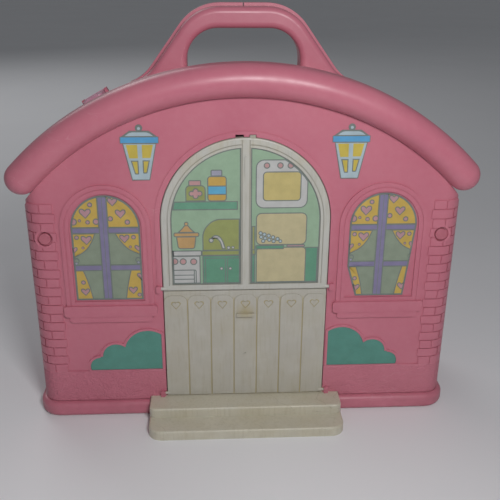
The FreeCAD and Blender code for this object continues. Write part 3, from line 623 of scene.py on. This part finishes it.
COOKER_SHAPES = (
    ("shelf_green", bar(-66, 205, -6.8, 213)),
    ("olive", ((-51.8, 213), (-34.3, 213), (-34.3, 227.5, 4.0), (-51.8, 227.5, 4.0))),
    ("rose", bar(-49, 226.6, -38, 232, 1.2)),
    ("orange", bar(-33, 212.8, -16.3, 235.5, 3.0)),
    ("blue", bar(-33, 218.6, -16.3, 227)),
    ("lilac", bar(-30, 235.0, -20, 241, 1.4)),
    ("clay", ((-61, 181), (-59.5, 169, 2.5), (-44.5, 169, 2.5), (-43, 181))),
    ("clay", ((-60.0, 184.3), (-43.6, 184.3), (-47.2, 187.6, 2.0), (-50.2, 191.6, 1.0),
              (-53.2, 191.6, 1.0), (-56.4, 187.6, 2.0))),
    ("clay", bar(-63, 180.4, -40.5, 184.7, 1.5)),
    ("olive", ((-38, 167.2), (-4, 167.2), (-4, 197), (-28, 197, 6.0), (-38, 186.5, 6.0))),
    ("teal", bar(-38.2, 129, -4, 162.7)),
    ("teal", bar(-36.0, 129, -17.6, 160.4, 1.0), 0.8),
    ("teal", bar(-16.4, 129, -4, 160.4, 1.0), 0.8),
    ("olive", bar(-39.0, 162.4, -4, 167.6)),
    ("white", bar(-66, 129, -40, 162.6)),
    ("white", bar(-65.5, 162.2, -38.6, 167.7, 1.2)),
    ("white", bar(-66, 129, -43.6, 149.4, 1.8)),
    ("line", bar(-46.2, 129, -45.2, 148.4), 0),
    ("line", bar(-66, 143.6, -45.4, 144.5), 0),
    ("line", bar(-66, 139.6, -45.4, 140.5), 0),
    ("line", bar(-66, 135.6, -45.4, 136.5), 0),
    ("white", ((-31.5, 178.3, 1.0), (-28.2, 178.8, 1.2), (-25.2, 178.4, 1.4),
               (-22.6, 175.2, 1.4), (-20.8, 168.6), (-17.4, 168.6), (-20.0, 177.6, 3.0),
               (-23.6, 182.0, 3.0), (-28.0, 182.0, 2.0))),
)

COOKER_SPOTS = (
    ("rose", -46.4, 220.0, 2.6), ("rose", -39.6, 220.0, 2.6), ("rose", -43.0, 222.3, 2.6),
    ("rose", -43.0, 217.7, 2.6), ("rose", -43.0, 220.0, 2.5, 0),
    ("clay", -51.7, 192.6, 2.0),
    ("white", -30.3, 177.0, 2.3),
    ("white", -15.0, 169.9, 1.7), ("white", -11.2, 170.1, 1.5),
    ("white", -21.4, 150.0, 1.6), ("white", -13.6, 150.0, 1.6),
    ("rose", -62.6, 157.4, 3.2), ("rose", -55.3, 157.2, 3.2), ("rose", -46.0, 157.0, 3.2),
)

FRIDGE_SHAPES = (
    ("teal", bar(52.6, 129, 66, 169.6)),
    ("teal", bar(4, 129, 8.5, 163)),
    ("olive", bar(4, 162.8, 8.5, 190)),
    ("olive", bar(4, 162.8, 8.8, 168.0)),
    ("white", bar(8.3, 206, 53.5, 249.5, 7.0)),
    ("amber", bar(14.4, 212.5, 47.6, 239, 3.5)),
    ("fridge", bar(9.1, 129, 53.9, 170.0, 4.0)),
    ("fridge", bar(8.8, 171.8, 53.8, 202, 5.0)),
    ("teal", bar(8.6, 167.8, 34.0, 172.0, 1.0)),
    ("heart", bar(36.0, 169.6, 52.6, 172.2, 1.2)),
)

FRIDGE_SPOTS = (
    ("rose", 17.7, 244.2, 2.8), ("rose", 29.1, 244.2, 2.8), ("rose", 37.9, 244.1, 2.8),
    ("lamp_pale", 13.0, 183.2, 1.9), ("lamp_pale", 16.4, 182.0, 1.9),
    ("lamp_pale", 13.6, 179.6, 1.9), ("lamp_pale", 17.2, 178.4, 1.9),
    ("lamp_pale", 20.2, 180.8, 1.9), ("lamp_pale", 15.4, 175.8, 1.9),
    ("lamp_pale", 20.8, 176.8, 1.9), ("lamp_pale", 24.0, 179.2, 1.9),
    ("lamp_pale", 24.6, 175.6, 1.9), ("lamp_pale", 28.0, 177.6, 1.9),
    ("lamp_pale", 30.6, 175.4, 1.7),
)

# Grey rim of a window label round its picture.
LABEL_RIM = 0.7
# Worn foot of the right window label: lines that bound what is left, each point inside
# the label's edge by its first number (from the left edge where it is negative) and up
# from the label's foot by its second.
WORN_FOOT = (
    ((-0.67, 29.2), (-9.17, 0.2)),
    ((7.7, 0.1), (0.7, 68.1)),
)

WINDOW_PANE = bar(-31, 118, 31, 222)
CURTAINS = (
    ("curtain", bar(-31, 189.6, -5.0, 222)),
    ("curtain", bar(2.0, 189.6, 31, 222)),
    ("curtain", ((-31, 184.8), (-8.6, 184.8), (-13.0, 174.0, 5.0), (-19.5, 166.5, 5.0),
                 (-28.5, 162.0), (-31, 162.0))),
    ("curtain", ((31, 184.8), (7.3, 184.8), (12.5, 175.5, 5.0), (18.6, 168.8, 5.0),
                 (28.5, 164.0), (31, 164.0))),
    ("curtain", ((-31, 150.0), (-21.6, 150.0), (-17.4, 138.0, 8.0), (-14.2, 120.0),
                 (-31, 120.0))),
    ("curtain", ((31, 150.0), (19.6, 150.0), (16.3, 137.0, 8.0), (13.6, 120.0),
                 (31, 120.0))),
)

CURTAIN_HEARTS = (
    (-16.3, 203.2, 5.3), (13.7, 202.5, 4.8), (7.4, 213.4, 4.6), (-17.0, 178.6, 5.0),
    (15.9, 179.6, 4.6), (-28.6, 169.3, 3.6), (27.6, 170.6, 3.6), (-21.4, 129.0, 4.2),
    (21.0, 130.0, 4.2), (29.0, 143.5, 4.2),
)

CURTAIN_SPOTS = (
    ("heart", -11.7, 210.8, 2.2), ("heart", -21.5, 196.5, 1.4), ("heart", -14.6, 195.0, 2.0),
    ("heart", -27.0, 195.5, 3.3), ("heart", -7.4, 195.5, 2.9), ("heart", 4.9, 198.0, 2.4),
    ("heart", 19.3, 194.8, 2.4), ("heart", -25.2, 181.0, 2.1), ("heart", -20.4, 171.3, 1.3),
    ("heart", 23.8, 180.8, 2.1), ("heart", 20.6, 171.8, 1.3), ("heart", -22.6, 138.2, 2.1),
    ("heart", 26.4, 125.4, 2.0),
    ("glass", -27.0, 159.0, 2.6), ("glass", 26.8, 159.4, 2.6), ("lilac", -27.2, 156.6, 1.7),
    ("lilac", 27.0, 157.0, 1.7),
)

SASH_BARS = (
    ("sash", bar(-31, 184.4, 31, 190.2)),
    ("sash", bar(-31, 149.3, 31, 155.2)),
    ("sash", bar(-5.6, 118, 2.7, 222)),
    ("line", bar(-1.7, 118, -1.2, 222), 0),
)

LANTERN_SHAPES = (
    ("lamp_pale", ((-13.2, 263.2), (-6.9, 232.8), (6.9, 232.8), (13.2, 263.2)), 0.7),
    ("lamp_blue", bar(-15.4, 264.2, 15.4, 268.9)),
    ("lamp_pale", ((-14.0, 269.2), (14.0, 269.2), (7.6, 273.8, 2.5), (-7.6, 273.8, 2.5)), 0.8),
    ("lamp_glow", ((-11.2, 262.6), (-1.9, 262.6), (-1.7, 251.1), (-8.9, 251.1))),
    ("lamp_glow", ((1.8, 262.6), (11.2, 262.6), (8.7, 251.4), (1.9, 251.4))),
    ("lamp_glow", ((-7.9, 249.2), (-1.5, 249.2), (-1.3, 237.2, 0.8), (-4.9, 237.2, 0.8))),
    ("lamp_glow", ((1.9, 249.4), (8.1, 249.4), (5.5, 238.0, 0.8), (1.9, 238.0, 0.8))),
)
LANTERN_KNOB = ("lamp_pale", 0.0, 276.3, 2.0, 0.8)


# ---------------------------------------------------------------- operators

class PLAYHOUSE_OT_mould_shell(bpy.types.Operator):
    """Give the walls and the roofs their pink moulded plastic"""

    bl_idname = "playhouse.mould_shell"
    bl_label = "Shell"

    def execute(self, context):
        dress(SHELL_PARTS, shell_finish(context.scene.playhouse_plastic))
        return {"FINISHED"}


class PLAYHOUSE_OT_mould_doorway(bpy.types.Operator):
    """Give the hatch, the plank door and the step their cream plastics"""

    bl_idname = "playhouse.mould_doorway"
    bl_label = "Hatch, door and step"

    def execute(self, context):
        plastic = context.scene.playhouse_plastic
        dress(["window_hatch"], hatch_finish(plastic))
        dress(["lower_door"], door_finish(plastic))
        dress(["door_step"], step_finish(plastic))
        return {"FINISHED"}


class PLAYHOUSE_OT_mould_controls(bpy.types.Operator):
    """Give the push buttons and the roof latch their plastics"""

    bl_idname = "playhouse.mould_controls"
    bl_label = "Buttons and latch"

    def execute(self, context):
        plastic = context.scene.playhouse_plastic
        dress(["left_button", "right_button"],
              small_plastic("button_plastic", plastic.button, plastic))
        dress(["roof_latch"], small_plastic("latch_plastic", plastic.latch, plastic))
        return {"FINISHED"}


class PLAYHOUSE_OT_plate_hardware(bpy.types.Operator):
    """Give the screws, pins, clips and springs their plated steel"""

    bl_idname = "playhouse.plate_hardware"
    bl_label = "Screws, pins and springs"

    def execute(self, context):
        steel = context.scene.playhouse_steel
        plated = steel_finish(steel)
        dress(STEEL_PARTS + SPRING_PARTS, plated)
        for node in SPRING_PARTS:
            wind_spring(node, steel, plated)
        return {"FINISHED"}


def wind_spring(node, spring, plated):
    """Coil of round wire in place of the CAD's linked rings."""
    low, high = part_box(node)
    middle = (low + high) / 2
    wire = spring.wire / 2
    coil = (high.x - low.x) / 2 - wire
    steps = TURN_FACETS * spring.turns
    length = high.y - low.y
    winding = bmesh.new()
    begin = Matrix.Translation((middle.x + coil, low.y + wire, middle.z))
    bmesh.ops.create_circle(winding, segments=WIRE_FACETS, radius=wire, matrix=begin)
    rise = (length - spring.wire) / steps
    bmesh.ops.spin(winding, geom=winding.verts[:] + winding.edges[:], cent=middle,
                   axis=(0.0, 1.0, 0.0), dvec=(0.0, rise, 0.0),
                   angle=2 * math.pi * spring.turns, steps=steps, use_merge=False)
    ends = [edge for edge in winding.edges if edge.is_boundary]
    bmesh.ops.edgeloop_fill(winding, edges=ends)
    bmesh.ops.recalc_face_normals(winding, faces=winding.faces[:])
    for face in winding.faces:
        face.smooth = len(face.verts) == 4
    mesh = bpy.data.meshes.new(node + "_coil")
    winding.to_mesh(mesh)
    winding.free()
    mesh.materials.append(plated)
    piece = bpy.data.objects.new(node + "_coil", mesh)
    bpy.context.scene.collection.objects.link(piece)
    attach(piece, "front_half")
    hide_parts(node)
    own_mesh(piece)


class PLAYHOUSE_OT_print_bushes(bpy.types.Operator):
    """Print the two bushes beside the door"""

    bl_idname = "playhouse.print_bushes"
    bl_label = "Bushes"

    def execute(self, context):
        inks = context.scene.playhouse_inks
        dress(["left_bush_label", "right_bush_label"], ink_material("leaf", inks))
        return {"FINISHED"}


class PLAYHOUSE_OT_print_lanterns(bpy.types.Operator):
    """Print the two wall lanterns"""

    bl_idname = "playhouse.print_lanterns"
    bl_label = "Lanterns"

    def execute(self, context):
        inks = context.scene.playhouse_inks
        for side in ("left", "right"):
            label = side + "_lamp_label"
            dress([label], ink_material("line", inks))
            low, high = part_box(label)
            picture = Picture(side + "_lantern_print", label, inks, (low.x + high.x) / 2 / MM)
            picture.draw(LANTERN_SHAPES)
            picture.disc(*LANTERN_KNOB)
            picture.done("front_half", "lamp_print")
        return {"FINISHED"}


class PLAYHOUSE_OT_print_windows(bpy.types.Operator):
    """Print the two curtained windows"""

    bl_idname = "playhouse.print_windows"
    bl_label = "Windows"

    def execute(self, context):
        inks = context.scene.playhouse_inks
        for side in ("left", "right"):
            label = side + "_window_label"
            dress([label], ink_material("line", inks))
            low, high = (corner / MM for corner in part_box(label))
            half = (high.x - low.x) / 2
            picture = Picture(side + "_window_print", label, inks, (low.x + high.x) / 2)
            picture.trim_to_arch(half - LABEL_RIM, low.z + LABEL_RIM, high.z - half)
            if side == "right":
                for (x0, z0), (x1, z1) in WORN_FOOT:
                    picture.trim_corner((math.copysign(half, x0) - x0, low.z + z0),
                                        (math.copysign(half, x1) - x1, low.z + z1))
            picture.patch("glass", WINDOW_PANE)
            picture.draw(CURTAINS)
            picture.even = False
            for x, z, s in CURTAIN_HEARTS:
                picture.patch("heart", heart(x, z, s))
            picture.dots(CURTAIN_SPOTS)
            picture.even = True
            picture.draw(SASH_BARS)
            picture.done("front_half", "window_print")
        return {"FINISHED"}


def trim_to_light(picture, way, inside):
    """Keep the drawing in one light of the hatch: `way` is its side, `inside` its margin."""
    bar_side = (LIGHT_BAR + inside) * way
    picture.trim_to_arch(LIGHT_HALF - inside, LIGHT_LOW + inside, LIGHT_SPRING, LIGHT_FACETS)
    picture.trim_corner((bar_side, LIGHT_SPRING + way), (bar_side, LIGHT_SPRING - way))


class PLAYHOUSE_OT_print_kitchen(bpy.types.Operator):
    """Print the kitchen seen through the two lights of the hatch"""

    bl_idname = "playhouse.print_kitchen"
    bl_label = "Kitchen"

    def execute(self, context):
        inks = context.scene.playhouse_inks
        dress(["left_kitchen_label", "right_kitchen_label"], ink_material("wall_green", inks))
        for side, way, wall, shapes, spots in (
                ("left", -1.0, LEFT_LIGHT, COOKER_SHAPES, COOKER_SPOTS),
                ("right", 1.0, RIGHT_LIGHT, FRIDGE_SHAPES, FRIDGE_SPOTS)):
            picture = Picture(side + "_kitchen_print", side + "_kitchen_label", inks)
            trim_to_light(picture, way, 0.0)
            picture.patch("wall_green", wall, WALL_LINE)
            trim_to_light(picture, way, KITCHEN_RIM)
            picture.draw(shapes)
            picture.dots(spots)
            picture.done("hatch", "kitchen_print")
        return {"FINISHED"}


# Each lamp's name, place, width and height.
LAMPS = (
    ("key", (0.09, -0.60, 0.52), 0.15, 0.11),
    ("back", (-0.9, 1.7, 1.5), 1.2, 1.2),
    ("fill", (1.5, -0.9, 0.9), 1.0, 1.0),
)
FLOOR_SIZE = 14.0
FILM_WIDE = 36.0


class PLAYHOUSE_OT_set_stage(bpy.types.Operator):
    """Lay the pale floor, hang the lamps and stand the camera"""

    bl_idname = "playhouse.set_stage"
    bl_label = "Stage"

    def execute(self, context):
        studio = context.scene.playhouse_studio
        lay_floor(studio)
        middle = Vector((0.0, cad_low.y, cad_high.z * 0.5))
        for name, place, wide, high in LAMPS:
            hang_lamp(name + "_lamp", place, middle, wide, high,
                      getattr(studio, name + "_power"))
        light_surroundings(studio)
        stand_camera(studio)
        return {"FINISHED"}


def lay_floor(studio):
    """Floor of pale paint, wide enough to fill every view."""
    f = Finish("floor_paint")
    cloud = f.patches(0.35, 0.3, 0.7, 1.0)
    base = f.tint(cloud, tuple(0.97 * part for part in studio.floor), tuple(studio.floor))
    material = f.done(base, f.polish(0.12, 3.0, 0.60, 0.72))
    mesh = bpy.data.meshes.new("floor")
    sheet = bmesh.new()
    bmesh.ops.create_grid(sheet, x_segments=1, y_segments=1, size=FLOOR_SIZE)
    sheet.to_mesh(mesh)
    sheet.free()
    mesh.materials.append(material)
    floor = bpy.data.objects.new("floor", mesh)
    bpy.context.scene.collection.objects.link(floor)


def hang_lamp(name, place, aim, wide, high, watts):
    """Rectangular lamp that faces `aim`."""
    data = bpy.data.lights.new(name, "AREA")
    data.shape = "RECTANGLE"
    data.size = wide
    data.size_y = high
    data.energy = watts
    lamp = bpy.data.objects.new(name, data)
    lamp.location = place
    lamp.visible_camera = False
    lamp.rotation_euler = (aim - Vector(place)).to_track_quat("-Z", "Y").to_euler()
    bpy.context.scene.collection.objects.link(lamp)


def light_surroundings(studio):
    """Even light from all round, and plain colour management."""
    world = bpy.data.worlds.new("studio")
    world.use_nodes = True
    ground = world.node_tree.nodes["Background"]
    ground.inputs["Color"].default_value = (*studio.sky_colour, 1.0)
    ground.inputs["Strength"].default_value = studio.sky
    bpy.context.scene.world = world
    bpy.context.scene.view_settings.view_transform = "Standard"


def stand_camera(studio):
    """Camera in front of the facade, a little above it and to its left."""
    data = bpy.data.cameras.new("camera")
    data.lens = studio.lens
    data.sensor_width = FILM_WIDE
    camera = bpy.data.objects.new("camera", data)
    turn = (Matrix.Rotation(-studio.aside, 4, "Z")
            @ Matrix.Rotation(math.pi / 2 - studio.down, 4, "X")
            @ Matrix.Rotation(studio.roll, 4, "Z"))
    camera.matrix_world = Matrix.Translation(studio.eye) @ turn
    bpy.context.scene.collection.objects.link(camera)
    bpy.context.scene.camera = camera


# ---------------------------------------------------------------- add-on

OPERATORS = (
    PLAYHOUSE_OT_set_stage,
    PLAYHOUSE_OT_mould_shell,
    PLAYHOUSE_OT_mould_doorway,
    PLAYHOUSE_OT_mould_controls,
    PLAYHOUSE_OT_plate_hardware,
    PLAYHOUSE_OT_print_bushes,
    PLAYHOUSE_OT_print_lanterns,
    PLAYHOUSE_OT_print_windows,
    PLAYHOUSE_OT_print_kitchen,
)
SETTINGS = {
    "playhouse_plastic": PlasticSettings,
    "playhouse_steel": SteelSettings,
    "playhouse_inks": InkSettings,
    "playhouse_studio": StudioSettings,
}


class PLAYHOUSE_PT_panel(bpy.types.Panel):
    """Sizes, colours and the steps that make the playhouse"""

    bl_idname = "PLAYHOUSE_PT_panel"
    bl_label = "Toy Playhouse"
    bl_space_type = "VIEW_3D"
    bl_region_type = "UI"
    bl_category = "Playhouse"

    def draw(self, context):
        for group, kind in SETTINGS.items():
            box = self.layout.box()
            for name in kind.__annotations__:
                box.prop(getattr(context.scene, group), name)
        for operator in OPERATORS:
            self.layout.operator(operator.bl_idname)


def register():
    for kind in (*SETTINGS.values(), *OPERATORS, PLAYHOUSE_PT_panel):
        bpy.utils.register_class(kind)
    for group, kind in SETTINGS.items():
        setattr(bpy.types.Scene, group, PointerProperty(type=kind))


def unregister():
    for group in SETTINGS:
        delattr(bpy.types.Scene, group)
    for kind in (PLAYHOUSE_PT_panel, *reversed(OPERATORS), *SETTINGS.values()):
        bpy.utils.unregister_class(kind)


def main():
    """Make the playhouse."""
    register()
    for operator in OPERATORS:
        group, name = operator.bl_idname.split(".")
        getattr(getattr(bpy.ops, group), name)()


if __name__ == "__main__":
    main()
